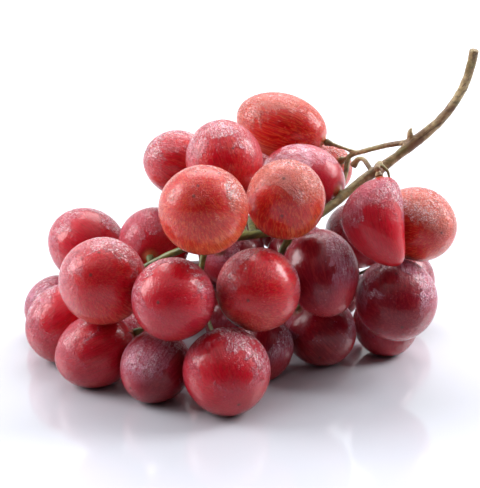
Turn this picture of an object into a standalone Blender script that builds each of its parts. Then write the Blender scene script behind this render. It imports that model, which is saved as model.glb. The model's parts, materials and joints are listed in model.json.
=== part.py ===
"""A bunch of red table grapes lying on its side, cut stem up at the right.

Every berry is its own solid.  The stem framework, from the cut peduncle down to the flared
ends of the pedicels, grew as one piece and is one solid.  Sizes here are in millimetres and
are turned into metres when a mesh is made.  +X runs along the bunch towards the cut stem,
+Y to its back and +Z up; z = 0 is the surface that the bunch rests on.
"""

import math

import bmesh
import bpy
from mathutils import Vector

MM = 0.001

# Clear gaps and allowances, in mm.
GAP = 0.3
SQUEEZE = 0.5
FLOOR_PRESS = 0.7
FLOOR_REACH = 2.5
SETTLE_ROUNDS = 150
PUSH = 0.35

# Berry mesh.
SEGMENTS = 16
RINGS = 10
EGG = 0.05
WELD = 0.08

# Stem mesh.
CAP_WELD = 0.001
BRANCH_RESOLUTION = 2
STALK_RESOLUTION = 1
STALK_RADIUS = 0.55
STALK_FOOT_RADIUS = 0.75
RECEPTACLE_RADIUS = 1.45
RECEPTACLE_LENGTH = 2.6
STALK_LEAN = 3.0
FIRST_STALK = 0.5
SMOOTH_STEPS = 2

# Branches of the stem framework: name, then points (x, y, z, radius).  The first branch is the
# cut peduncle and runs on as the rachis; the others start on an earlier branch.
BRANCHES = {
    "rachis": [
        (70, 22, 95, 1.45),
        (69, 24, 87, 1.35),
        (66, 26, 79, 1.35),
        (61, 27, 72, 1.5),
        (54, 27, 66, 1.8),
        (49, 26, 62, 1.4),
        (43, 24, 58, 1.7),
        (37, 21, 55, 1.4),
        (30, 17, 50, 1.4),
        (18, 9, 44, 1.3),
        (4, 6, 42, 1.2),
        (-10, 5, 40, 1.1),
        (-22, 8, 35, 1.0),
        (-32, 12, 28, 0.9),
        (-38, 9, 21, 0.8),
    ],
    "stub": [(53, 27, 66, 1.1), (52.5, 27, 69, 0.8), (53, 27, 70.5, 0.25)],
    "shoulder": [
        (52, 27, 66, 0.9),
        (46, 32, 64, 0.8),
        (39, 37, 61, 0.8),
        (35, 39, 59, 0.9),
        (34, 37, 54, 0.8),
        (32, 34, 49, 0.7),
    ],
    "empty_stalk": [
        (41, 23, 57, 0.8),
        (39, 27, 60, 0.7),
        (38, 31, 60, 0.7),
        (37, 33, 59, 0.9),
        (36, 34, 57, 1.3),
    ],
    "right_wing": [(43, 24, 58, 1.1), (45, 27, 46, 1.0), (46, 25, 36, 0.9), (45, 28, 24, 0.8)],
    "front_twig": [(43, 24, 58, 1.0), (42, 14, 62, 0.8), (40, 4, 63.5, 0.8), (39.5, -1, 63.5, 0.8)],
    "curl": [(41, 6, 63.4, 0.7), (43, 3, 62, 0.5), (43.5, 2, 59, 0.3)],
    "front_fall": [(17, 9, 44, 1.1), (11, 6, 34, 1.0), (9, 4, 24, 0.8)],
    "back_top": [
        (32, 34, 49, 0.8),
        (27, 39, 47, 0.8),
        (18, 43, 50, 0.8),
        (6, 41, 52, 0.8),
        (-4, 37, 50, 0.7),
    ],
    "back_fall": [(4, 6, 42, 1.1), (3, 22, 43, 1.0), (4, 34, 34, 0.9), (6, 38, 24, 0.8)],
    "left_fall": [(-10, 5, 40, 1.0), (-12, 1, 30, 0.9), (-11, -3, 21, 0.8)],
    "left_back": [(-32, 12, 28, 0.9), (-36, 26, 24, 0.8), (-34, 36, 20, 0.8)],
}

# Berries in the order they hang on each branch: x, y, z of the middle, diameter, length and
# ripeness.  They are rough places: settle() then lets the berries push each other apart.
BERRIES = {
    "shoulder": [
        (14.5, 47, 66, 21.4, 31, "orange"),
        (27.5, 50, 53, 17.4, 19, "orange"),
    ],
    "right_wing": [
        (53, 8, 44.3, 22.5, 26.5, "orange"),
        (46.5, 0, 23.8, 24.5, 25.5, "maroon"),
        (46, 17, 10, 20.8, 21, "maroon"),
        (55, 46, 15, 21.6, 23, "maroon"),
        (32, 52, 11, 22, 23, "maroon"),
        (39, 48, 29, 22, 24, "maroon"),
    ],
    "front_twig": [(38.2, -5, 49, 17.8, 26.5, "crimson")],
    "rachis": [
        (20, 28, 54, 22.8, 28, "mauve"),
        (24, 0, 32, 22.2, 27, "maroon"),
        (13, -6, 56, 22.8, 24, "orange"),
        (-10, -22, 57, 24.6, 25.2, "orange"),
        (-5, 20, 62, 23.5, 25, "pink"),
        (-39, -12, 32, 25.2, 27, "pink"),
        (-27.5, 28, 33.2, 22.8, 24, "crimson"),
    ],
    "front_fall": [
        (25, 9, 11, 21.8, 22.5, "maroon"),
        (7, -1, 9, 18.4, 19, "maroon"),
        (5, -16, 32, 24.0, 24.5, "pink"),
        (19, 22, 29, 22, 23, "maroon"),
    ],
    "left_fall": [
        (-4, -27, 12, 24.6, 24.6, "crimson"),
        (-19, -24, 32, 23.2, 24, "crimson"),
        (-25, -18, 10, 20.4, 21.5, "maroon"),
        (-41.5, -8, 11.5, 21.6, 24.5, "crimson"),
        (-29, 14, 10, 21, 22, "crimson"),
        (-2, 22, 31, 21, 22, "maroon"),
    ],
    "back_top": [
        (-20, 36, 57.6, 21, 22, "pink"),
        (6, 58, 47, 20, 22, "crimson"),
    ],
    "back_fall": [
        (-2, 24, 11, 20, 21, "maroon"),
        (22, 30, 11, 21, 22, "maroon"),
        (8, 50, 11, 22, 23, "crimson"),
        (-15, 46, 11, 22, 22, "maroon"),
        (-8, 46, 32, 21.5, 23, "crimson"),
        (14, 44, 38, 21, 23, "maroon"),
    ],
    "left_back": [
        (-50.5, 38, 29.5, 24.4, 26.5, "crimson"),
        (-60, 33, 10, 20.6, 22, "maroon"),
        (-54, 12, 12.5, 24.4, 25.5, "crimson"),
        (-38, 50, 11, 22, 23, "maroon"),
        (-27, 52, 27, 20.5, 22, "crimson"),
    ],
}

# A berry that grew bent: the twig it hangs on, its taper towards the blossom end and how far its
# two ends sweep to one side of its middle.
BENT_TWIG = "front_twig"
BENT_TAPER = 0.14
BENT_SWEEP = (4.2, 0, 0)

# Skin colours by ripeness (linear RGB) and the stem's.
SKIN_COLOURS = {
    "maroon": (0.12, 0.008, 0.018),
    "crimson": (0.34, 0.018, 0.035),
    "mauve": (0.42, 0.06, 0.11),
    "pink": (0.50, 0.06, 0.08),
    "orange": (0.62, 0.10, 0.05),
}
SKIN_ROUGHNESS = 0.3
STEM_COLOUR = (0.30, 0.19, 0.07)
STEM_ROUGHNESS = 0.7


class Berry:
    """One berry: its middle, its size, the branch it hangs on and its stalk's route."""

    def __init__(self, name, branch, row):
        x, y, z, diameter, length, ripeness = row
        self.name = name
        self.branch = branch
        self.middle = Vector((x, y, z))
        self.radius = diameter / 2
        self.half_length = length / 2
        self.ripeness = ripeness
        bent = branch == BENT_TWIG
        self.taper = BENT_TAPER if bent else EGG
        self.sweep = Vector(BENT_SWEEP if bent else (0, 0, 0))
        self.foot = Vector()
        self.axis = Vector((0, 0, 1))

    def aim(self, routes):
        """Hang the berry from the nearest point of its branch, a little nearer the base."""
        line = [place for place, _ in routes[self.branch]]
        distance = nearest_distance_along(line, self.middle)
        self.foot = point_along(line, max(distance - STALK_LEAN, FIRST_STALK))
        self.axis = (self.foot - self.middle - self.sweep).normalized()

    def reach(self, direction):
        """Distance from the middle to the skin along a unit direction."""
        along = direction.dot(self.axis)
        across = 1 - along * along
        return 1 / math.sqrt((along / self.half_length) ** 2 + across / self.radius ** 2)

    def stem_end(self):
        """Where the receptacle meets the berry, a gap above the skin."""
        return self.middle + self.sweep + self.axis * (self.half_length + GAP)


def clear_scene():
    for item in list(bpy.data.objects):
        bpy.data.objects.remove(item, do_unlink=True)


def nearest_distance_along(line, target):
    """Arc length from a polyline's start to its point nearest to target."""
    best = (math.inf, 0.0)
    walked = 0.0
    for start, end in zip(line[:-1], line[1:]):
        span = end - start
        share = min(max((target - start).dot(span) / span.length_squared, 0), 1)
        off = (start + span * share - target).length
        best = min(best, (off, walked + share * span.length))
        walked += span.length
    return best[1]


def point_along(line, distance):
    """Point of a polyline at an arc length from its start."""
    for start, end in zip(line[:-1], line[1:]):
        span = end - start
        if distance <= span.length:
            return start + span * (distance / span.length)
        distance -= span.length
    return line[-1].copy()


def nearest_on_segment(start, end, target):
    span = end - start
    share = min(max((target - start).dot(span) / span.length_squared, 0), 1)
    return start + span * share


def smooth_route(rows):
    """A smooth curve through a branch's own points: places, with radii between theirs."""
    places = [Vector(row[:3]) for row in rows]
    radii = [row[3] for row in rows]
    places = [places[0] * 2 - places[1]] + places + [places[-1] * 2 - places[-2]]
    route = []
    for index in range(len(rows) - 1):
        before, start, end, after = places[index:index + 4]
        for step in range(SMOOTH_STEPS):
            t = step / SMOOTH_STEPS
            square = before * 2 - start * 5 + end * 4 - after
            cube = start * 3 - before - end * 3 + after
            place = start + ((end - before) * t + square * t ** 2 + cube * t ** 3) / 2
            route.append((place, radii[index] * (1 - t) + radii[index + 1] * t))
    route.append((places[-2], radii[-1]))
    return route


def stretches_of(route):
    """Straight stretches of a route: start, end and the larger of the two radii."""
    return [(start, end, max(near, far)) for (start, near), (end, far) in zip(route[:-1], route[1:])]


def make_berries():
    berries = []
    for branch, rows in BERRIES.items():
        for row in rows:
            berries.append(Berry(f"berry_{len(berries) + 1:02d}", branch, row))
    return berries


def push_apart(first, second):
    """Move two berries apart by part of what they overlap beyond the allowed squeeze."""
    span = second.middle - first.middle
    direction = span.normalized()
    overlap = first.reach(direction) + second.reach(direction) + GAP - SQUEEZE - span.length
    if overlap > 0:
        first.middle -= direction * overlap * PUSH
        second.middle += direction * overlap * PUSH


def push_off_stem(berry, start, end, radius):
    """Move a berry off a stretch of stem that it would press into."""
    nearest = nearest_on_segment(start, end, berry.middle)
    span = berry.middle - nearest
    overlap = berry.reach(span.normalized()) + radius + GAP - span.length
    if overlap > 0:
        berry.middle += span.normalized() * overlap * PUSH


def settle(berries, routes):
    """Let the berries push each other, and their stalks, to places where they fit."""
    down = Vector((0, 0, -1))
    branches = [stretch for route in routes.values() for stretch in stretches_of(route)]
    for _ in range(SETTLE_ROUNDS):
        for berry in berries:
            berry.aim(routes)
        for index, first in enumerate(berries):
            for second in berries[index + 1:]:
                push_apart(first, second)
        for berry in berries:
            for start, end, radius in branches:
                push_off_stem(berry, start, end, radius)
            for other in berries:
                if other is not berry:
                    push_off_stem(berry, other.foot, other.stem_end(), RECEPTACLE_RADIUS)
            lowest = berry.reach(down) - FLOOR_PRESS
            if berry.middle.z < lowest + FLOOR_REACH:
                berry.middle.z = lowest
    for berry in berries:
        berry.aim(routes)


def berry_mesh(berry):
    """A ball with its poles at the stem end and the blossom end, a little egg-shaped."""
    ball = bmesh.new()
    bmesh.ops.create_uvsphere(ball, u_segments=SEGMENTS, v_segments=RINGS, radius=1)
    turn = Vector((0, 0, 1)).rotation_difference(berry.axis)
    for vert in ball.verts:
        along = vert.co.z
        width = berry.radius * (1 + berry.taper * along)
        shaped = Vector((vert.co.x * width, vert.co.y * width, along * berry.half_length))
        vert.co = berry.middle + turn @ shaped + berry.sweep * along ** 2
    return ball


def support(ball, direction):
    return max(vert.co.dot(direction) for vert in ball.verts)


def flatten(ball, point, outward):
    """Cut off what stands past a plane and close the cut with one flat face."""
    if support(ball, outward) <= point.dot(outward):
        return
    geometry = ball.verts[:] + ball.edges[:] + ball.faces[:]
    bmesh.ops.bisect_plane(ball, geom=geometry, dist=WELD, plane_co=point, plane_no=outward,
                           clear_outer=True)
    rim = [edge for edge in ball.edges if edge.is_boundary]
    bmesh.ops.contextual_create(ball, geom=rim)


def press_berries(berries, balls):
    """Give each pair of touching berries two facing flats with a gap between them."""
    for index, first in enumerate(berries):
        for second in berries[index + 1:]:
            span = second.middle - first.middle
            outward = span.normalized()
            front = support(balls[first.name], outward)
            back = -support(balls[second.name], -outward)
            if front + GAP <= back:
                continue
            halfway = outward * (front + back) / 2
            flatten(balls[first.name], halfway - outward * GAP / 2, outward)
            flatten(balls[second.name], halfway + outward * GAP / 2, -outward)


def press_on_stem(berries, balls, routes):
    """Flatten each berry where the stem, other than its own stalk, passes against it."""
    branches = [stretch for route in routes.values() for stretch in stretches_of(route)]
    stalks = {berry.name: stretches_of(stalk_route(berry)) for berry in berries}
    for berry in berries:
        near = branches + [stretch for name, stretches in stalks.items() if name != berry.name
                           for stretch in stretches]
        for start, end, radius in near:
            nearest = nearest_on_segment(start, end, berry.middle)
            outward = (nearest - berry.middle).normalized()
            flatten(balls[berry.name], nearest - outward * (radius + GAP), outward)


def stalk_route(berry):
    """Places and radii of a berry's stalk, from its foot on the branch to its flared end."""
    end = berry.stem_end()
    span = berry.foot - end
    flare = min(RECEPTACLE_LENGTH, span.length * 0.5)
    return [
        (berry.foot, STALK_FOOT_RADIUS),
        (end + span * 0.6, STALK_RADIUS),
        (end + berry.axis * flare, STALK_RADIUS * 1.1),
        (end + berry.axis * flare * 0.4, RECEPTACLE_RADIUS * 0.8),
        (end, RECEPTACLE_RADIUS),
    ]


def tube(name, route, resolution):
    """A closed tapered tube through points with radii, as a mesh object in metres."""
    curve = bpy.data.curves.new(name, "CURVE")
    curve.dimensions = "3D"
    curve.bevel_depth = MM
    curve.bevel_resolution = resolution
    curve.use_fill_caps = True
    spline = curve.splines.new("POLY")
    spline.points.add(len(route) - 1)
    for point, (place, radius) in zip(spline.points, route):
        point.co = (*(place * MM), 1)
        point.radius = radius
    guide = bpy.data.objects.new(name + "_line", curve)
    bpy.context.scene.collection.objects.link(guide)
    bpy.context.view_layer.update()
    evaluated = guide.evaluated_get(bpy.context.evaluated_depsgraph_get())
    mesh = bpy.data.meshes.new_from_object(evaluated)
    bpy.data.objects.remove(guide, do_unlink=True)
    mesh.name = name
    weld_caps(mesh)
    return bpy.data.objects.new(name, mesh)


def weld_caps(mesh):
    """Merge the end caps of a curve's mesh with its side, which makes it one closed body."""
    shell = bmesh.new()
    shell.from_mesh(mesh)
    bmesh.ops.remove_doubles(shell, verts=shell.verts, dist=CAP_WELD * MM)
    shell.to_mesh(mesh)
    shell.free()


def principled(name, colour, roughness):
    material = bpy.data.materials.new(name)
    material.use_nodes = True
    shader = material.node_tree.nodes["Principled BSDF"]
    shader.inputs["Base Color"].default_value = (*colour, 1)
    shader.inputs["Roughness"].default_value = roughness
    shader.inputs["Metallic"].default_value = 0
    return material


def add_berry(berry, ball, skins):
    """Turn a finished ball into its own mesh object, in metres."""
    for vert in ball.verts:
        vert.co *= MM
    mesh = bpy.data.meshes.new(berry.name)
    ball.to_mesh(mesh)
    ball.free()
    mesh.shade_smooth()
    mesh.materials.append(skins[berry.ripeness])
    item = bpy.data.objects.new(berry.name, mesh)
    bpy.context.scene.collection.objects.link(item)
    return item


def add_stem(berries, routes):
    """Join the branches and stalks into one closed piece with a Boolean union."""
    stem = tube("stem", routes["rachis"], BRANCH_RESOLUTION)
    bpy.context.scene.collection.objects.link(stem)
    parts = bpy.data.collections.new("stem_parts")
    bpy.context.scene.collection.children.link(parts)
    for name, route in routes.items():
        if name != "rachis":
            parts.objects.link(tube(name, route, BRANCH_RESOLUTION))
    for berry in berries:
        parts.objects.link(tube(berry.name + "_stalk", stalk_route(berry), STALK_RESOLUTION))
    for item in parts.objects:
        item.hide_render = True
        item.display_type = "WIRE"
    joined = stem.modifiers.new("joined", "BOOLEAN")
    joined.operation = "UNION"
    joined.solver = "EXACT"
    joined.operand_type = "COLLECTION"
    joined.collection = parts
    stem.data.shade_smooth()
    stem.data.materials.append(principled("stem_bark", STEM_COLOUR, STEM_ROUGHNESS))
    return stem


def centre(items):
    """Parent everything to an empty that puts the middle of the pieces' box over the origin."""
    bpy.context.view_layer.update()
    corners = [item.matrix_world @ Vector(corner) for item in items for corner in item.bound_box]
    middle_x = (min(c.x for c in corners) + max(c.x for c in corners)) / 2
    middle_y = (min(c.y for c in corners) + max(c.y for c in corners)) / 2
    bunch = bpy.data.objects.new("bunch", None)
    bpy.context.scene.collection.objects.link(bunch)
    bunch.location = (-middle_x, -middle_y, 0)
    for item in bpy.data.objects:
        if item is not bunch:
            item.parent = bunch


def main():
    clear_scene()
    routes = {name: smooth_route(rows) for name, rows in BRANCHES.items()}
    berries = make_berries()
    settle(berries, routes)
    balls = {berry.name: berry_mesh(berry) for berry in berries}
    press_on_stem(berries, balls, routes)
    press_berries(berries, balls)
    for ball in balls.values():
        flatten(ball, Vector(), Vector((0, 0, -1)))
    skins = {name: principled("skin_" + name, colour, SKIN_ROUGHNESS)
             for name, colour in SKIN_COLOURS.items()}
    items = [add_berry(berry, balls[berry.name], skins) for berry in berries]
    items.append(add_stem(berries, routes))
    centre(items)


main()
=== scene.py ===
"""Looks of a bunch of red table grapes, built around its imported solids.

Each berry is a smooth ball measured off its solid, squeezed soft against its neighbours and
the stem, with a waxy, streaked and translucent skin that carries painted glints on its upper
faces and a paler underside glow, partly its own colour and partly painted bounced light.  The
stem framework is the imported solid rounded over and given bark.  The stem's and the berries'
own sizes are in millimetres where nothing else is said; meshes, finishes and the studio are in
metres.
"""

import json
import logging
import math
from dataclasses import dataclass, field
from enum import Enum
from typing import Any

import bmesh
import bpy
import numpy as np
from mathutils import Matrix, Vector, noise
from mathutils.bvhtree import BVHTree


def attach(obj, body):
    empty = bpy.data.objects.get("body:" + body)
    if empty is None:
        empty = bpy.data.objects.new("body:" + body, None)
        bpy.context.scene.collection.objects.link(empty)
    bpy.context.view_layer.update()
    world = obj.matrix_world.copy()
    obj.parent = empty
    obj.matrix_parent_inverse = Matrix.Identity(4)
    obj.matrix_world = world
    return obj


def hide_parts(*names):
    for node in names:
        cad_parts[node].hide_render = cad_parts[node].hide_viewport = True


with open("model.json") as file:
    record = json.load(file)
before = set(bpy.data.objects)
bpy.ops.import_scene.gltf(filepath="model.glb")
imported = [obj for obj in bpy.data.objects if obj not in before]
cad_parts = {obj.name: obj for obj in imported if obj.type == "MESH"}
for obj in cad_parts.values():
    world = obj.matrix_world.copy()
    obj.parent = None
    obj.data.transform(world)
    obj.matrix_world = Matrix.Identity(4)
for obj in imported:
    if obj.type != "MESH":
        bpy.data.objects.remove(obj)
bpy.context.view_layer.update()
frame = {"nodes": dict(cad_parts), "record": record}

logging.basicConfig(level=logging.INFO, format="%(message)s")
LOG = logging.getLogger("grapes")

MM = 0.001
Triple = tuple[float, float, float]
Colour = Triple


class Ripeness(Enum):
    """How far a berry's skin has coloured; the value is the record's slot."""

    MAROON = "skin_maroon"
    CRIMSON = "skin_crimson"
    MAUVE = "skin_mauve"
    PINK = "skin_pink"
    ORANGE = "skin_orange"


class Field:
    """A shader socket whose arithmetic adds Math nodes."""

    def __init__(self, graph: "Graph", socket: bpy.types.NodeSocket) -> None:
        """Keep the graph that the socket belongs to."""
        self.graph = graph
        self.socket = socket

    def _math(self, operation: str, first: Any, second: Any) -> "Field":
        """Return the result of one Math node."""
        return self.graph.node("ShaderNodeMath", {"operation": operation}, {0: first, 1: second})

    def __add__(self, other: Any) -> "Field":
        """Return self + other."""
        return self._math("ADD", self, other)

    def __radd__(self, other: Any) -> "Field":
        """Return other + self."""
        return self._math("ADD", other, self)

    def __sub__(self, other: Any) -> "Field":
        """Return self - other."""
        return self._math("SUBTRACT", self, other)

    def __rsub__(self, other: Any) -> "Field":
        """Return other - self."""
        return self._math("SUBTRACT", other, self)

    def __mul__(self, other: Any) -> "Field":
        """Return self * other."""
        return self._math("MULTIPLY", self, other)

    def __rmul__(self, other: Any) -> "Field":
        """Return other * self."""
        return self._math("MULTIPLY", other, self)

    def step(self, low: float, high: float, least: float = 0.0, most: float = 1.0) -> "Field":
        """Return a soft step of this field.

        Args:
            low: The value that becomes the least.
            high: The value that becomes the most.
            least: What the step starts from.
            most: What it ends at.

        Returns:
            A field from least to most.
        """
        settings = {"interpolation_type": "SMOOTHSTEP"}
        sockets = {"Value": self, "From Min": low, "From Max": high, "To Min": least,
                   "To Max": most}
        return self.graph.node("ShaderNodeMapRange", settings, sockets)


class Graph:
    """The node tree of a material or a world, built one node at a time."""

    def __init__(self, owner: bpy.types.Material | bpy.types.World, shader: str) -> None:
        """Turn on the owner's nodes and keep the shader that the tree ends in.

        Args:
            owner: A new material or world.
            shader: The name of its shader node.
        """
        owner.use_nodes = True
        self.owner = owner
        self.tree = owner.node_tree
        self.shader = self.tree.nodes[shader]

    @classmethod
    def of_material(cls, name: str) -> "Graph":
        """Return the graph of a new material with a Principled shader."""
        return cls(bpy.data.materials.new(name), "Principled BSDF")

    def node(self, kind: str, settings: dict[str, Any], sockets: dict[Any, Any],
             out: int | str = 0) -> Field:
        """Add one node.

        Args:
            kind: The node's type.
            settings: Its properties, set first.
            sockets: Its inputs by name or index, as values or fields.
            out: The output to return, by name or index.

        Returns:
            The chosen output as a field.
        """
        made = self.tree.nodes.new(kind)
        for key, value in settings.items():
            setattr(made, key, value)
        for key, value in sockets.items():
            self.feed(made.inputs[key], value)
        return Field(self, made.outputs[out])

    def feed(self, socket: bpy.types.NodeSocket, value: Any) -> None:
        """Link a field to a socket, or set a plain value on it.

        Args:
            socket: The input to fill.
            value: A field, a number, a vector or a colour without alpha.
        """
        if isinstance(value, Field):
            self.tree.links.new(value.socket, socket)
        elif isinstance(value, tuple) and socket.type == "RGBA":
            socket.default_value = (*value, 1)
        else:
            socket.default_value = value

    def finish(self, sockets: dict[str, Any]) -> bpy.types.Material | bpy.types.World:
        """Feed the shader.

        Args:
            sockets: The shader's inputs by name, as values or fields.

        Returns:
            The finished material or world.
        """
        for key, value in sockets.items():
            self.feed(self.shader.inputs[key], value)
        return self.owner

    def place(self) -> Field:
        """Return the piece's own coordinates, in metres."""
        return self.node("ShaderNodeTexCoord", {}, {}, "Object")

    def attribute(self, name: str, out: str = "Vector") -> Field:
        """Return a mesh attribute."""
        return self.node("ShaderNodeAttribute", {"attribute_name": name}, {}, out)

    def split(self, vector: Field, axis: str) -> Field:
        """Return one component of a vector."""
        return self.node("ShaderNodeSeparateXYZ", {}, {0: vector}, axis)

    def stretch(self, vector: Field, scale: Triple, turn: Triple = (0, 0, 0)) -> Field:
        """Turn a vector and then scale it.

        Args:
            vector: The vector.
            scale: How much each axis is scaled.
            turn: The turn about each axis, in radians.

        Returns:
            The turned and scaled vector.
        """
        turned = self.node("ShaderNodeMapping", {}, {"Vector": vector, "Rotation": turn})
        settings = {"operation": "MULTIPLY"}
        return self.node("ShaderNodeVectorMath", settings, {0: turned, 1: scale})

    def noise(self, vector: Field, scale: float, detail: float = 3, rough: float = 0.5,
              warp: float = 0) -> Field:
        """Add a fractal noise.

        Args:
            vector: Where it is read.
            scale: Its features in a unit of the vector.
            detail: How many finer layers it has.
            rough: How strong each finer layer is.
            warp: How much it is distorted.

        Returns:
            The noise, from 0 to 1 with a middle of 0.5.
        """
        sockets = {"Vector": vector, "Scale": scale, "Detail": detail, "Roughness": rough,
                   "Distortion": warp}
        return self.node("ShaderNodeTexNoise", {}, sockets, 0)

    def cells(self, vector: Field, scale: float, out: str = "Distance") -> Field:
        """Return the distance to, or the colour of, the nearest scattered point."""
        sockets = {"Vector": vector, "Scale": scale}
        return self.node("ShaderNodeTexVoronoi", {}, sockets, out)

    def mix(self, share: Any, first: Any, second: Any, blend: str = "MIX") -> Field:
        """Return two colours mixed by a share."""
        settings = {"data_type": "RGBA", "blend_type": blend}
        return self.node("ShaderNodeMix", settings, {0: share, 6: first, 7: second}, 2)

    def bump(self, height: Field, depth: float, strength: float,
             under: Field | None = None) -> Field:
        """Return a normal raised by a height field.

        Args:
            height: The height, from 0 to 1.
            depth: The height's full depth in metres.
            strength: How much of it shows.
            under: An earlier bump to build on.

        Returns:
            The normal.
        """
        sockets = {"Height": height, "Distance": depth, "Strength": strength}
        if under is not None:
            sockets["Normal"] = under
        return self.node("ShaderNodeBump", {}, sockets, "Normal")


class Grain:
    """How fine each pattern is: features in a metre."""

    DRIFT = 55.0
    CLOUD = 70.0
    MIST = 75.0
    RAGGED = 115.0
    MOTTLE = 150.0
    FLECK = 210.0
    SPARSE = 240.0
    CREASE = 520.0
    PORE = 640.0
    FILM = 760.0
    BEAD = 820.0
    PEEL = 900.0


@dataclass(frozen=True)
class SkinReading:
    """What a skin reads at each point of a berry."""

    graph: Graph
    place: Field
    fibre: Field
    patch: Field
    down: Field
    end: Field

    @classmethod
    def of(cls, graph: Graph) -> "SkinReading":
        """Return the reading of a berry's coordinates and of its two attributes.

        Args:
            graph: The skin's graph.

        Returns:
            Its fields: the place in metres, the coordinates that run from end to end, nearness
            to a rubbed patch, how far the skin faces down, and the end, 1 at the stem and -1 at
            the blossom.
        """
        cues = [graph.split(graph.attribute("cues"), axis) for axis in "XYZ"]
        return cls(graph, graph.place(), graph.attribute("fibre"), *cues)

    def noise(self, grain: float, detail: float = 3, rough: float = 0.5, warp: float = 0) -> Field:
        """Return a noise over the berry's own coordinates."""
        return self.graph.noise(self.place, grain, detail, rough, warp)

    def fibres(self, fine: float) -> Field:
        """Return a noise drawn out from the stem end to the blossom end."""
        drawn = self.graph.stretch(self.fibre, (fine, fine, fine * 0.10))
        return self.graph.noise(drawn, 1.0, 3, 0.65, 0.5)


@dataclass(frozen=True)
class SkinFinish:
    """Grape skin: a coloured, translucent, streaked skin under a rubbed waxy bloom.

    The *_share fields say how much of the glow, the bloom and the streaks shows. The dew setting
    says how strongly the bumped film of water and wax stands out, and how strongly its painted
    glints show: thin near-white crinkled lines of painted highlight on the upper faces.  The glow
    is partly the skin's own paler colour underneath and partly painted light bounced up from the
    floor.
    """

    slot: Ripeness
    deep: Colour
    flesh: Colour
    # The underside glow: partly the skin's own paler colour underneath, partly painted light
    # bounced up from the floor.
    glow: Colour
    bloom: Colour
    bounce_glow_share: float
    bloom_share: float
    streak_share: float
    # How strongly the film's bump stands out, and how strongly its painted glints show.
    dew_and_glint: float
    scatter: float
    gloss: float = 0.17
    coat: float = 0.25
    # The near-white colour of the painted glints, which are crinkled highlights of a wet film.
    wax_and_glint: Colour = (0.98, 0.84, 0.88)
    shade: Colour = (0.66, 0.46, 0.46)
    fleck: Colour = (0.05, 0.006, 0.008)
    crown: Colour = (0.30, 0.17, 0.05)
    scar: Colour = (0.07, 0.015, 0.010)
    tint: Colour = (1.0, 0.70, 0.75)
    depth: Colour = (1.0, 0.18, 0.10)

    def build(self) -> bpy.types.Material:
        """Build the skin.

        Returns:
            The finished material.
        """
        graph = Graph.of_material(self.slot.value)
        skin = SkinReading.of(graph)
        bloom = self._bloom(skin)
        colour = graph.mix(bloom * self.bloom_share, self._flesh(skin), self.bloom)
        # Painted highlight: near-white crinkled glints laid into the colour on the upper, waxy
        # faces.
        colour = graph.mix(self._painted_glints(skin, bloom), colour, self.wax_and_glint)
        sockets = {
            "Base Color": self._marks(skin, colour),
            "Roughness": self.gloss + bloom * 0.08,
            "Coat Weight": self.coat - bloom * 0.22,
            "Coat Roughness": 0.06,
            "IOR": 1.42,
            "Specular Tint": self.tint,
            "Subsurface Weight": self.scatter,
            "Subsurface Radius": self.depth,
            "Subsurface Scale": 0.003,
            "Normal": self._relief(skin, bloom),
        }
        return graph.finish(sockets)

    def _flesh(self, skin: SkinReading) -> Field:
        """Colour the skin under its bloom: a deep patch, an underside glow that is partly its own
        paler colour and partly painted bounced light, and streaks.

        Args:
            skin: What the skin reads.

        Returns:
            The colour.
        """
        mix = skin.graph.mix
        mottle = skin.noise(Grain.MOTTLE, 4, 0.6, 0.6)
        patch = (skin.patch + (mottle - 0.5) * 1.1).step(0.15, 0.9)
        colour = mix(patch, self.flesh, self.deep)
        # Painted light: downward faces turn to the glow colour, partly the skin's own paler
        # underside and partly painted bounce light.
        side = (skin.down + (skin.noise(Grain.DRIFT) - 0.5) * 2.6).step(0.0, 1.1)
        bounce_lit = side * (1 - patch * 0.7)
        colour = mix(bounce_lit * self.bounce_glow_share, colour, self.glow)
        # The pale streaks take the glow colour and show most on the painted, bounce-lit underside.
        pale = skin.fibres(19).step(0.48, 0.60) * (0.35 + bounce_lit * 0.65)
        colour = mix(pale * self.streak_share, colour, self.glow)
        dark = skin.fibres(27).step(0.50, 0.60)
        return mix(dark * self.streak_share, colour, self.shade, "MULTIPLY")

    def _bloom(self, skin: SkinReading) -> Field:
        """Lay the wax: soft clouds, rubbed patches, thin scratches, and little underneath.

        Args:
            skin: What the skin reads.

        Returns:
            How much wax is left, from 0 to 1.
        """
        rubbed = skin.patch + (skin.noise(Grain.RAGGED, 6, 0.62, 0.9) - 0.5) * 1.5
        left = 1 - rubbed.step(0.66, 0.72) * 0.6 - rubbed.step(0.25, 1.0) * 0.4
        clouds = skin.noise(Grain.CLOUD, 3, 0.5, 0.8).step(0.30, 0.62)
        scratch = skin.fibres(23).step(0.52, 0.58)
        flakes = skin.noise(Grain.CREASE, 4, 0.7, 0.8).step(0.54, 0.58)
        wax_and_glint = left * (0.40 + clouds * 0.60) * (1 - scratch * 0.6) * (1 - flakes * 0.5)
        return wax_and_glint * (1 - skin.down.step(-0.45, 0.25) * 0.95)

    def _painted_glints(self, skin: SkinReading, bloom: Field) -> Field:
        """Paint thin, near-white crinkled lines: painted glints of a wet film on the upper, waxy
        faces.

        Args:
            skin: What the skin reads.
            bloom: How much wax is left.

        Returns:
            How strongly the painted glint shows there, from 0 to 1.
        """
        creased = skin.noise(Grain.CREASE, 2, 0.5, 2.4)
        lines = creased.step(0.44, 0.50) * (1 - creased.step(0.50, 0.55))
        misted = skin.noise(Grain.MIST, 3, 0.6).step(0.40, 0.56)
        # The painted glints are kept to faces that look up, where the highlights fall.
        above = 1 - skin.down.step(-0.60, 0.10)
        return lines * misted * bloom.step(0.15, 0.70) * above * self.dew_and_glint

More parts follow.
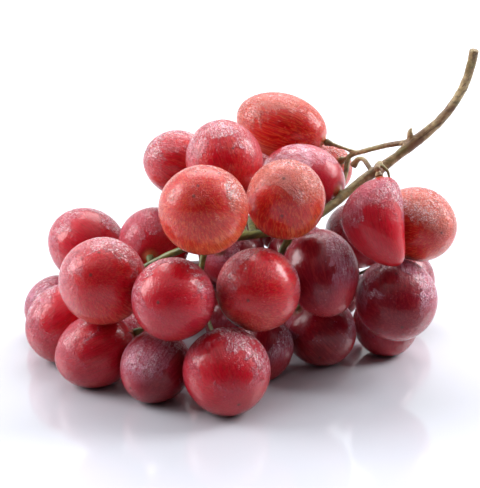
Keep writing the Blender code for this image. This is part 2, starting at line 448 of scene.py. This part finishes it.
    def _marks(self, skin: SkinReading, colour: Field) -> Field:
        """Add pores, russet flecks, a paler stem end and the blossom scar.

        Args:
            skin: What the skin reads.
            colour: The colour so far.

        Returns:
            The marked colour.
        """
        graph = skin.graph
        pores = 1 - graph.cells(skin.place, Grain.PORE).step(0.10, 0.20)
        few = skin.noise(Grain.SPARSE, 2).step(0.52, 0.6)
        colour = graph.mix(pores * few * 0.22, colour, self.bloom)
        flecks = 1 - graph.cells(skin.place, Grain.FLECK).step(0.06, 0.13)
        rare = skin.noise(Grain.MIST, 2).step(0.52, 0.58)
        colour = graph.mix(flecks * rare * 0.7, colour, self.fleck)
        colour = graph.mix(skin.end.step(0.965, 0.995) * 0.5, colour, self.crown)
        frayed = skin.noise(Grain.PEEL, 3, 0.7) * 0.0012
        scar = 1 - (skin.end + frayed).step(-0.9994, -0.9978)
        return graph.mix(scar * 0.8, colour, self.scar)

    def _relief(self, skin: SkinReading, bloom: Field) -> Field:
        """Raise the skin's peel, its fibres, the wax's edges and a crinkled film of dew.

        Args:
            skin: What the skin reads.
            bloom: How much wax is left.

        Returns:
            The normal.
        """
        bump = skin.graph.bump
        normal = bump(skin.noise(Grain.PEEL, 3, 0.6), 0.00003, 0.5)
        normal = bump(skin.fibres(24), 0.00014, 0.6, normal)
        normal = bump(bloom, 0.00012, 0.7, normal)
        film = skin.noise(Grain.FILM, 3, 0.5, 1.8).step(0.42, 0.58)
        normal = bump(film * (0.05 + bloom * 0.95), 0.00050, self.dew_and_glint, normal)
        beads = 1 - skin.graph.cells(skin.place, Grain.BEAD).step(0.05, 0.60)
        misted = skin.noise(Grain.MIST, 3, 0.6).step(0.42, 0.56)
        return bump(beads * misted * bloom, 0.00040, self.dew_and_glint * 0.6, normal)


SKINS: dict[Ripeness, SkinFinish] = {
    Ripeness.MAROON: SkinFinish(
        Ripeness.MAROON, deep=(0.19, 0.0006, 0.009), flesh=(0.36, 0.004, 0.022),
        glow=(0.48, 0.05, 0.04), bloom=(0.60, 0.25, 0.36), bounce_glow_share=0.35, bloom_share=0.7,
        streak_share=0.6, dew_and_glint=0.7, scatter=0.2),
    Ripeness.CRIMSON: SkinFinish(
        Ripeness.CRIMSON, deep=(0.48, 0.002, 0.014), flesh=(0.42, 0.003, 0.020),
        glow=(0.48, 0.05, 0.035), bloom=(0.62, 0.17, 0.25), bounce_glow_share=0.35, bloom_share=0.65,
        streak_share=0.7, dew_and_glint=0.9, scatter=0.25),
    Ripeness.MAUVE: SkinFinish(
        Ripeness.MAUVE, deep=(0.44, 0.004, 0.022), flesh=(0.46, 0.014, 0.034),
        glow=(0.58, 0.09, 0.08), bloom=(0.82, 0.42, 0.52), bounce_glow_share=0.35, bloom_share=0.88,
        streak_share=0.6, dew_and_glint=0.7, gloss=0.18, scatter=0.25),
    Ripeness.PINK: SkinFinish(
        Ripeness.PINK, deep=(0.52, 0.002, 0.012), flesh=(0.50, 0.006, 0.020),
        glow=(0.60, 0.10, 0.05), bloom=(0.74, 0.26, 0.32), bounce_glow_share=0.4, bloom_share=0.7,
        streak_share=0.85, dew_and_glint=1.0, scatter=0.25),
    Ripeness.ORANGE: SkinFinish(
        Ripeness.ORANGE, deep=(0.48, 0.003, 0.005), flesh=(0.54, 0.026, 0.012),
        glow=(0.76, 0.19, 0.055), bloom=(0.86, 0.32, 0.24), bounce_glow_share=0.5, bloom_share=0.5,
        streak_share=0.85, dew_and_glint=0.9, scatter=0.3),
}


@dataclass(frozen=True)
class BarkFinish:
    """Stem: dry olive-brown bark at the cut end, fresh green among the berries.

    The bark's ridges follow the peduncle, which leans by lean degrees from upright.
    """

    bark: Colour = (0.16, 0.080, 0.030)
    dark: Colour = (0.05, 0.024, 0.012)
    pale: Colour = (0.42, 0.32, 0.16)
    green: Colour = (0.15, 0.15, 0.030)
    leaf: Colour = (0.05, 0.07, 0.010)
    lean: float = 52.0
    roughness: float = 0.52

    def build(self) -> bpy.types.Material:
        """Build the bark.

        Returns:
            The finished material.
        """
        graph = Graph.of_material("stem_bark")
        place = graph.place()
        along = graph.stretch(place, (1, 1, 0.16), (0, -math.radians(self.lean), 0))
        fresh = graph.attribute("fresh", "Fac")
        ridges = graph.noise(along, 1500, 4, 0.6, 0.3)
        patches = graph.noise(place, 190, 4, 0.6, 0.5)
        brown = graph.mix(patches.step(0.38, 0.62), self.bark, self.pale)
        brown = graph.mix(ridges.step(0.50, 0.66) * 0.75, brown, self.dark)
        green = graph.mix(graph.noise(along, 700, 3).step(0.4, 0.62), self.green, self.leaf)
        tinge = graph.noise(place, 120, 3).step(0.50, 0.62) * 0.45
        colour = graph.mix(tinge, brown, self.green)
        colour = graph.mix(fresh, colour, green)
        knots = 1 - graph.cells(place, 430).step(0.10, 0.24)
        colour = graph.mix(knots * 0.5, colour, self.dark)
        normal = graph.bump(ridges, 0.00022, 0.8)
        normal = graph.bump(knots, 0.0001, 0.5, normal)
        sockets = {
            "Base Color": colour,
            "Roughness": self.roughness - fresh * 0.14,
            "Subsurface Weight": 0.08,
            "Subsurface Radius": (0.5, 0.6, 0.2),
            "Subsurface Scale": 0.001,
            "Normal": normal,
        }
        return graph.finish(sockets)


@dataclass(frozen=True)
class FloorFinish:
    """A pale, polished board with a soft reflection, which turns white far out.

    Distances from the bunch are in metres.
    """

    board: Colour = (0.55, 0.57, 0.63)
    backdrop: Colour = (0.97, 0.975, 0.985)
    board_ends: tuple[float, float] = (0.10, 0.9)
    glow_starts: tuple[float, float] = (0.20, 1.3)
    glow: float = 0.9
    roughness: float = 0.07

    def build(self) -> bpy.types.Material:
        """Build the floor.

        Returns:
            The finished material.
        """
        graph = Graph.of_material("studio_floor")
        place = graph.place()
        cloud = graph.noise(place, 9)
        away = graph.node("ShaderNodeVectorMath", {"operation": "LENGTH"}, {0: place}, "Value")
        far = away.step(*self.glow_starts)
        sockets = {
            "Base Color": graph.mix(away.step(*self.board_ends), self.board, self.backdrop),
            "Roughness": self.roughness + cloud * 0.05,
            "IOR": 1.8,
            "Emission Color": graph.mix(far, (0, 0, 0), self.backdrop),
            "Emission Strength": self.glow,
        }
        return graph.finish(sockets)


def merged_copy(node: bpy.types.Object, weld: float = 1e-6) -> bmesh.types.BMesh:
    """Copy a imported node's loose triangles into one joined mesh.

    Args:
        node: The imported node.
        weld: Points closer than this, in metres, become one.

    Returns:
        A new bmesh; the node itself is left alone.
    """
    copy = bmesh.new()
    copy.from_mesh(node.data)
    bmesh.ops.remove_doubles(copy, verts=copy.verts, dist=weld)
    return copy


def add_piece(name: str, shape: bmesh.types.BMesh,
              material: bpy.types.Material) -> bpy.types.Object:
    """Turn a bmesh into a smooth piece that rides on the bunch.

    Args:
        name: The piece's name.
        shape: Its mesh, which is freed.
        material: Its material.

    Returns:
        The new object.
    """
    mesh = bpy.data.meshes.new(name)
    shape.to_mesh(mesh)
    shape.free()
    mesh.shade_smooth()
    mesh.materials.append(material)
    piece = bpy.data.objects.new(name, mesh)
    bpy.context.scene.collection.objects.link(piece)
    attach(piece, "root")
    return piece


@dataclass
class StemFramework:
    """Peduncle, rachis, side branches and stalks, grown as one piece.

    The peduncle is dry bark for its dry length, and turns green over the greening beyond that.
    """

    node: bpy.types.Object
    voxel: float = 0.27
    smoothing_rounds: int = 5
    bark_depth: float = 0.10
    dry_length: float = 46.0
    greening: float = 26.0
    tree: BVHTree | None = None

    def build(self) -> bpy.types.Object:
        """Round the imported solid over, roughen it and dress it.

        Returns:
            The finished piece.
        """
        shape = self._rounded()
        self._roughen(shape)
        self.tree = BVHTree.FromBMesh(shape)
        fresh = self._freshness(shape)
        piece = add_piece("stem_framework", shape, BarkFinish().build())
        layer = piece.data.attributes.new("fresh", "FLOAT", "POINT")
        layer.data.foreach_set("value", fresh)
        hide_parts("stem")
        LOG.info("stem_framework: %d faces", len(piece.data.polygons))
        return piece

    def _rounded(self) -> bmesh.types.BMesh:
        """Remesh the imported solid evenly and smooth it.

        Returns:
            A new mesh.
        """
        copy = merged_copy(self.node)
        mesh = bpy.data.meshes.new("stem_blank")
        copy.to_mesh(mesh)
        copy.free()
        blank = bpy.data.objects.new("stem_blank", mesh)
        bpy.context.scene.collection.objects.link(blank)
        remesh = blank.modifiers.new("even", "REMESH")
        remesh.mode = "VOXEL"
        remesh.voxel_size = self.voxel * MM
        bpy.context.view_layer.update()
        rounded = bmesh.new()
        rounded.from_object(blank, bpy.context.evaluated_depsgraph_get())
        bpy.data.objects.remove(blank, do_unlink=True)
        for _ in range(self.smoothing_rounds):
            bmesh.ops.smooth_vert(rounded, verts=rounded.verts, factor=0.5, use_axis_x=True,
                                  use_axis_y=True, use_axis_z=True)
        return rounded

    def _roughen(self, shape: bmesh.types.BMesh) -> None:
        """Swell and pit the surface, and give back what the smoothing took.

        Args:
            shape: The stem's mesh, whose points move.
        """
        shape.normal_update()
        for vert in shape.verts:
            place = vert.co / MM
            lump = noise.noise(place * 0.35) + 0.5 * noise.noise(place * 1.1)
            vert.co += vert.normal * (self.bark_depth * (lump + 0.9)) * MM

    def _freshness(self, shape: bmesh.types.BMesh) -> list[float]:
        """Grade the stem from its dry cut end to the fresh stalks among the berries.

        Args:
            shape: The stem's mesh.

        Returns:
            Each point's freshness, from 0 to 1.
        """
        tip = max(shape.verts, key=lambda vert: vert.co.z + vert.co.x).co
        shares = []
        for vert in shape.verts:
            away = (vert.co - tip).length / MM + 6 * noise.noise(vert.co / MM * 0.12)
            share = (away - self.dry_length) / self.greening
            shares.append(min(max(share, 0.0), 1.0))
        return shares


# Where the rubbed, deep-coloured patch of a berry in front faces: rightwards and upwards, as seen
# from the front, in shares of its radius.
RUBBED: dict[str, tuple[float, float]] = {
    "berry_01": (0.0, -0.3),
    "berry_03": (-0.5, -0.6),
    "berry_04": (-0.25, 0.05),
    "berry_09": (0.2, -0.25),
    "berry_10": (0.5, -0.5),
    "berry_11": (-0.5, 0.2),
    "berry_12": (-0.4, -0.5),
    "berry_13": (-0.15, 0.35),
    "berry_14": (0.15, -0.35),
    "berry_15": (0.45, -0.1),
    "berry_16": (0.4, -0.5),
    "berry_17": (0.0, 0.1),
    "berry_18": (-0.4, 0.5),
    "berry_19": (0.15, 0.3),
    "berry_21": (-0.1, 0.3),
    "berry_22": (0.1, 0.4),
    "berry_23": (0.7, -0.4),
    "berry_24": (0.35, 0.3),
    "berry_27": (0.3, -0.2),
    "berry_35": (0.15, 0.1),
    "berry_36": (0.3, -0.5),
    "berry_37": (0.4, 0.3),
}
VIEW_TILT = math.radians(16)
GOLDEN_ANGLE = math.radians(137.5)


def rubbed_side(name: str, seed: float) -> Vector:
    """Return the direction that a berry's rubbed patch faces.

    Args:
        name: The berry's node.
        seed: Its number, which turns the patch of a berry that has no listed side.

    Returns:
        A unit vector.
    """
    if name not in RUBBED:
        return scattered_side(seed)
    right, up = RUBBED[name]
    toward = math.sqrt(1 - right ** 2 - up ** 2)
    high = Vector((0, math.sin(VIEW_TILT), math.cos(VIEW_TILT)))
    near = Vector((0, -math.cos(VIEW_TILT), math.sin(VIEW_TILT)))
    return Vector((right, 0, 0)) + high * up + near * toward


def scattered_side(seed: float) -> Vector:
    """Spread directions all round, leaning up and down.

    Args:
        seed: Which of them to take.

    Returns:
        A unit vector.
    """
    turn = seed * GOLDEN_ANGLE
    lift = 0.6 * math.sin(seed * 1.7)
    flat = math.sqrt(1 - lift ** 2)
    return Vector((flat * math.cos(turn), flat * math.sin(turn), lift))


@dataclass
class BerryForm:
    """A berry's measured shape, and how it is measured.

    The middle, the axis towards the stem, the half length, the radius and the sweep are in
    metres; the least sweep that counts and the depth of a pressed flat are in millimetres.
    """

    middle: Vector
    axis: Vector
    half_length: float
    radius: float = 0.0
    taper: float = 0.0
    sweep: Vector = field(default_factory=Vector)
    least_sweep: float = 2.0
    rounds: int = 12
    flat_depth: float = 0.1
    tip_share: float = 0.9
    pole_edges: int = 12

    @classmethod
    def measured(cls, node: bpy.types.Object, stem: BVHTree) -> "BerryForm":
        """Measure a packed berry.

        Args:
            node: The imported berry, a faceted ball with two poles.
            stem: The stem's surface, whose stalk meets the berry's stem end.

        Returns:
            Its form.
        """
        ball = merged_copy(node)
        poles = sorted(ball.verts, key=lambda vert: -len(vert.link_edges))[:2]
        ends = [vert.co.copy() for vert in poles if len(vert.link_edges) >= cls.pole_edges]
        points = np.array([vert.co for vert in ball.verts])
        ball.free()
        if len(ends) < 2:
            ends.append(Vector(points.mean(axis=0)) * 2 - ends[0])
        ends.sort(key=lambda end: stem.find_nearest(end)[3])
        span = ends[0] - ends[1]
        form = cls((ends[0] + ends[1]) / 2, span.normalized(), span.length / 2)
        form._fit(points)
        return form

    def _fit(self, points: np.ndarray) -> None:
        """Fit radius, taper and sideways bend, leaving out the tips and the pressed flats.

        Args:
            points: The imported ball's points, a row for each.
        """
        spin = self.turn()
        local = (points - np.array(self.middle)) @ spin
        along = local[:, 2] / self.half_length
        middling = np.abs(along) < self.tip_share
        local, along = local[middling], along[middling]
        bend = self._solve(local, along, True)
        if np.linalg.norm(bend) < self.least_sweep * MM:
            bend = self._solve(local, along, False)
        self.sweep = Vector(spin @ np.array((*bend, 0.0)))

    def _solve(self, local: np.ndarray, along: np.ndarray, bent: bool) -> np.ndarray:
        """Fit by least squares, again and again without the points that lie too deep.

        Args:
            local: The points about the middle, with the axis as z.
            along: How far along the axis each one is, from -1 to 1.
            bent: Whether the ball may bend.

        Returns:
            The bend across the axis, in metres.
        """
        bulge = 1 - along ** 2
        girth = np.sqrt(bulge)
        bend = np.zeros(2)
        kept = np.ones(len(along), bool)
        for _ in range(self.rounds):
            arm = local[:, :2] + bend * bulge[:, None]
            across = np.linalg.norm(arm, axis=1)
            unit = arm / across[:, None] * bulge[:, None]
            columns = np.column_stack([girth, girth * along] + ([-unit] if bent else []))
            wanted = across - unit @ bend
            fit = np.linalg.lstsq(columns[kept], wanted[kept], rcond=None)[0]
            missing = columns @ fit - wanted
            kept = missing < max(np.median(missing), 0) + self.flat_depth * MM
            bend = fit[2:] if bent else bend
        self.radius = float(fit[0])
        self.taper = float(fit[1] / fit[0])
        return bend

    def turn(self) -> np.ndarray:
        """Return the rotation that takes z to the axis."""
        return np.array(Vector((0, 0, 1)).rotation_difference(self.axis).to_matrix())


@dataclass(frozen=True)
class Ring:
    """A rise or dip of a berry's end, in mm: its height, its distance off the axis, its width."""

    height: float
    off_axis: float
    width: float
    power: int = 2

    def relief(self, off_axis: np.ndarray) -> np.ndarray:
        """Return its height at each distance off the axis."""
        return self.height * np.exp(-((off_axis - self.off_axis) / self.width) ** self.power)


STEM_SEAT = (Ring(0.42, 0, 1.25, 4), Ring(-0.34, 2.2, 0.9))
BLOSSOM_END = (Ring(0.14, 0, 1.5), Ring(-0.10, 0, 0.45))


@dataclass
class Berry:
    """One grape: a smooth ball, pressed where it touches, with a collar and a blossom scar."""

    name: str
    form: BerryForm
    ripeness: Ripeness
    seed: float
    segments: int = 56
    rings: int = 44
    pole_crowding: float = 0.25
    lumpiness: float = 0.16
    lumps_across: float = 1.25
    stem_search: float = 1.5
    back_patch: float = 0.15
    shape: bmesh.types.BMesh = field(default_factory=bmesh.new)
    grain: np.ndarray = field(default_factory=lambda: np.zeros((0, 3)))
    points: np.ndarray = field(default_factory=lambda: np.zeros((0, 3)))
    fibre: np.ndarray = field(default_factory=lambda: np.zeros((0, 3)))

    def model(self) -> None:
        """Shape the ball from a sphere whose rings crowd towards both ends."""
        bmesh.ops.create_uvsphere(self.shape, u_segments=self.segments, v_segments=self.rings,
                                  radius=1)
        unit = np.array([vert.co for vert in self.shape.verts])
        polar = np.arccos(np.clip(unit[:, 2], -1, 1))
        polar -= self.pole_crowding * np.sin(2 * polar)
        turn = np.arctan2(unit[:, 1], unit[:, 0])
        self.grain = np.column_stack([np.sin(polar) * np.cos(turn), np.sin(polar) * np.sin(turn),
                                      np.cos(polar)])
        fan = np.sqrt(np.sin(polar))
        self.fibre = np.column_stack([fan * np.cos(turn), fan * np.sin(turn), polar])
        self.fibre += self.seed * 4.7
        width = self.form.radius * (1 + self.form.taper * self.grain[:, 2])
        local = self.grain * np.column_stack([width, width,
                                              np.full(len(width), self.form.half_length)])
        local += self.grain * self._lumps()[:, None]
        local[:, 2] += self._ends(np.hypot(local[:, 0], local[:, 1]) / MM)
        bulge = 1 - self.grain[:, 2] ** 2
        self.points = local @ self.form.turn().T + np.array(self.form.middle)
        self.points -= np.outer(bulge, np.array(self.form.sweep))

    def _lumps(self) -> np.ndarray:
        """Swell the flesh a little, and slowly, from place to place.

        Returns:
            Each point's swelling, in metres.
        """
        away = Vector((self.seed * 7.3, self.seed * 3.1, self.seed))
        swell = [noise.noise(Vector(row) * self.lumps_across + away) for row in self.grain]
        return np.array(swell) * self.lumpiness * MM

    def _ends(self, off_axis: np.ndarray) -> np.ndarray:
        """Return the lengthwise relief at the two ends.

        Args:
            off_axis: Each point's distance from the long axis, in mm.

        Returns:
            How far each point moves along the axis, in metres.
        """
        seat, blossom = (sum(ring.relief(off_axis) for ring in end)
                         for end in (STEM_SEAT, BLOSSOM_END))
        return np.where(self.grain[:, 2] > 0, seat, blossom) * MM

    def reach(self, direction: np.ndarray) -> float:
        """Return the furthest extent along a unit direction, in metres."""
        return float((self.points @ direction).max())

    def press(self, limit: float, direction: np.ndarray, softness: float) -> None:
        """Squeeze the ball back behind a plane with a rounded edge.

        Args:
            limit: The plane's distance along the direction, in metres.
            direction: The plane's unit normal, pointing away from the berry.
            softness: The radius of the rounding, in metres.
        """
        past = (limit - self.points @ direction) / softness
        eased = np.logaddexp(0, past)
        self.points -= np.outer((eased - past) * softness, direction)

    def clear_stem(self, stem: BVHTree, gap: float) -> None:
        """Push the skin out of any stem that runs against it.

        Args:
            stem: The stem's surface.
            gap: The room left between the two, in metres.
        """
        for index, row in enumerate(self.points):
            place = Vector(row)
            nearest, normal, _, distance = stem.find_nearest(place, self.stem_search * MM)
            if nearest is None:
                continue
            inside = (place - nearest).dot(normal) < 0
            if inside or distance < gap:
                self.points[index] = nearest + normal * gap

    def _cues(self) -> np.ndarray:
        """Tell the skin where each point lies.

        Returns:
            A row for each point: nearness to a rubbed patch, how far it faces down, and the end,
            1 at the stem and -1 at the blossom.
        """
        middle = np.array(self.form.middle - self.form.sweep)
        away = (self.points - middle) / self.form.radius
        front = rubbed_side(self.name, self.seed)
        patch = away @ np.array(front)
        back = away @ np.array((Vector((0, 0, 0.5)) - front).normalized())
        return np.column_stack([np.maximum(patch, back - self.back_patch), -away[:, 2],
                                self.grain[:, 2]])

    def dress(self, material: bpy.types.Material) -> bpy.types.Object:
        """Write the mesh with what its skin reads and hand it over.

        Args:
            material: The skin.

        Returns:
            The finished piece.
        """
        for vert, row in zip(self.shape.verts, self.points):
            vert.co = row
        piece = add_piece("skin_" + self.name, self.shape, material)
        for name, values in (("fibre", self.fibre), ("cues", self._cues())):
            layer = piece.data.attributes.new(name, "FLOAT_VECTOR", "POINT")
            layer.data.foreach_set("vector", values.astype(np.float32).ravel())
        smooth = piece.modifiers.new("smooth", "SUBSURF")
        smooth.levels = smooth.render_levels = 1
        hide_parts(self.name)
        return piece


@dataclass
class BerryCluster:
    """All the berries, pressed against each other, the stem and the surface.

    The gap is what stays between two skins; each softness is the radius of a flat's edge.
    """

    stem: StemFramework
    gap: float = 0.06
    softness: float = 0.35
    floor_softness: float = 0.25
    furthest_pair: float = 40.0
    berries: list[Berry] = field(default_factory=list)

    def build(self) -> list[bpy.types.Object]:
        """Measure, model, press and dress every berry.

        Returns:
            The finished pieces.
        """
        slots = {row["node"]: row["material_slot"] for row in frame["record"]["subparts"]}
        loose = merged_copy(frame["nodes"]["stem"])
        packed_stem = BVHTree.FromBMesh(loose)
        loose.free()
        names = sorted(name for name in frame["nodes"] if name.startswith("berry_"))
        for index, name in enumerate(names):
            form = BerryForm.measured(frame["nodes"][name], packed_stem)
            self.berries.append(Berry(name, form, Ripeness(slots[name]), 1.0 + index))
        for berry in self.berries:
            berry.model()
        self._press_together()
        down = np.array((0.0, 0.0, -1.0))
        for berry in self.berries:
            berry.press(0, down, self.floor_softness * MM)
            berry.clear_stem(self.stem.tree, self.gap * MM)
        skins = {kind: finish.build() for kind, finish in SKINS.items()}
        pieces = [berry.dress(skins[berry.ripeness]) for berry in self.berries]
        for piece in pieces:
            LOG.info("%s: %d faces before smoothing", piece.name, len(piece.data.polygons))
        return pieces

    def _press_together(self) -> None:
        """Squeeze each touching pair back to a shared flat with a hairline between.

        All the flats are found first, so that one squeeze doesn't shift the next.
        """
        squeezes = []
        for index, first in enumerate(self.berries):
            for second in self.berries[index + 1:]:
                span = second.form.middle - first.form.middle
                if span.length > self.furthest_pair * MM:
                    continue
                outward = np.array(span.normalized())
                front = first.reach(outward)
                back = -second.reach(-outward)
                if front + 3 * self.gap * MM > back:
                    halfway = (front + back) / 2
                    squeezes.append((first, halfway - self.gap * MM / 2, outward))
                    squeezes.append((second, -halfway - self.gap * MM / 2, -outward))
        for berry, limit, direction in squeezes:
            berry.press(limit, direction, self.softness * MM)


@dataclass(frozen=True)
class Panel:
    """A soft rectangular light: where it hangs and its size, in metres, and its watts."""

    name: str
    place: Triple
    wide: float
    high: float
    watts: float

    def hang(self, aim: Triple) -> None:
        """Add the light.

        Args:
            aim: The point that it faces.
        """
        light = bpy.data.lights.new(self.name, "AREA")
        light.shape = "RECTANGLE"
        light.size = self.wide
        light.size_y = self.high
        light.energy = self.watts
        panel = bpy.data.objects.new(self.name, light)
        facing = (Vector(aim) - Vector(self.place)).to_track_quat("-Z", "Y")
        panel.matrix_world = Matrix.Translation(self.place) @ facing.to_matrix().to_4x4()
        bpy.context.scene.collection.objects.link(panel)


PANELS = (
    Panel("back_panel", (0.0, 0.40, 0.60), 0.60, 0.40, 3.6),
    Panel("left_panel", (-0.50, 0.05, 0.29), 0.32, 0.38, 3.7),
    Panel("right_panel", (0.49, 0.12, 0.35), 0.26, 0.34, 4.2),
)


@dataclass
class Studio:
    """Pale floor, soft panels of light and the camera.

    The sky brightens from one to the other sky_light as a direction turns to the bright side,
    over the sky_fade of its cosine.
    """

    floor_size: float = 8.0
    aim: Triple = (0, 0, 0.035)
    sky: Colour = (0.98, 0.985, 1.0)
    bright_side: Triple = (0, 0.8, 0.6)
    sky_fade: tuple[float, float] = (-0.35, 0.55)
    sky_light: tuple[float, float] = (0.05, 1.06)
    lens: float = 85.0
    camera_place: Triple = (-0.0003, -0.3402, 0.1341)
    camera_tilt: float = 74.0

    def build(self) -> None:
        """Lay the floor and set the lights, the sky and the camera."""
        self._floor()
        self._sky()
        for panel in PANELS:
            panel.hang(self.aim)
        self._camera()

    def _floor(self) -> None:
        """Add the floor, which is left off the bunch."""
        sheet = bmesh.new()
        bmesh.ops.create_grid(sheet, x_segments=1, y_segments=1, size=self.floor_size / 2)
        mesh = bpy.data.meshes.new("floor")
        sheet.to_mesh(mesh)
        sheet.free()
        mesh.materials.append(FloorFinish().build())
        floor = bpy.data.objects.new("floor", mesh)
        bpy.context.scene.collection.objects.link(floor)

    def _sky(self) -> None:
        """Surround the set with white that fades to grey on the near side."""
        graph = Graph(bpy.data.worlds.new("studio"), "Background")
        way = graph.node("ShaderNodeTexCoord", {}, {}, "Generated")
        facing = graph.node("ShaderNodeVectorMath", {"operation": "DOT_PRODUCT"},
                            {0: way, 1: self.bright_side}, "Value")
        seen = graph.node("ShaderNodeLightPath", {}, {}, "Is Camera Ray")
        strength = graph.node("ShaderNodeMath", {"operation": "MAXIMUM"},
                              {0: seen, 1: facing.step(*self.sky_fade, *self.sky_light)})
        bpy.context.scene.world = graph.finish({"Color": self.sky, "Strength": strength})

    def _camera(self) -> None:
        """Add the camera, looking along the bunch's depth and a little down."""
        data = bpy.data.cameras.new("camera")
        data.lens = self.lens
        data.sensor_width = 36
        data.clip_start = 0.01
        camera = bpy.data.objects.new("camera", data)
        camera.location = self.camera_place
        camera.rotation_euler = (math.radians(self.camera_tilt), 0, 0)
        bpy.context.scene.collection.objects.link(camera)
        bpy.context.scene.camera = camera


def main() -> None:
    """Build the stem, the berries and the studio."""
    bpy.context.scene.view_settings.view_transform = "Standard"
    stem = StemFramework(frame["nodes"]["stem"])
    stem.build()
    BerryCluster(stem).build()
    Studio().build()


if __name__ == "__main__":
    main()
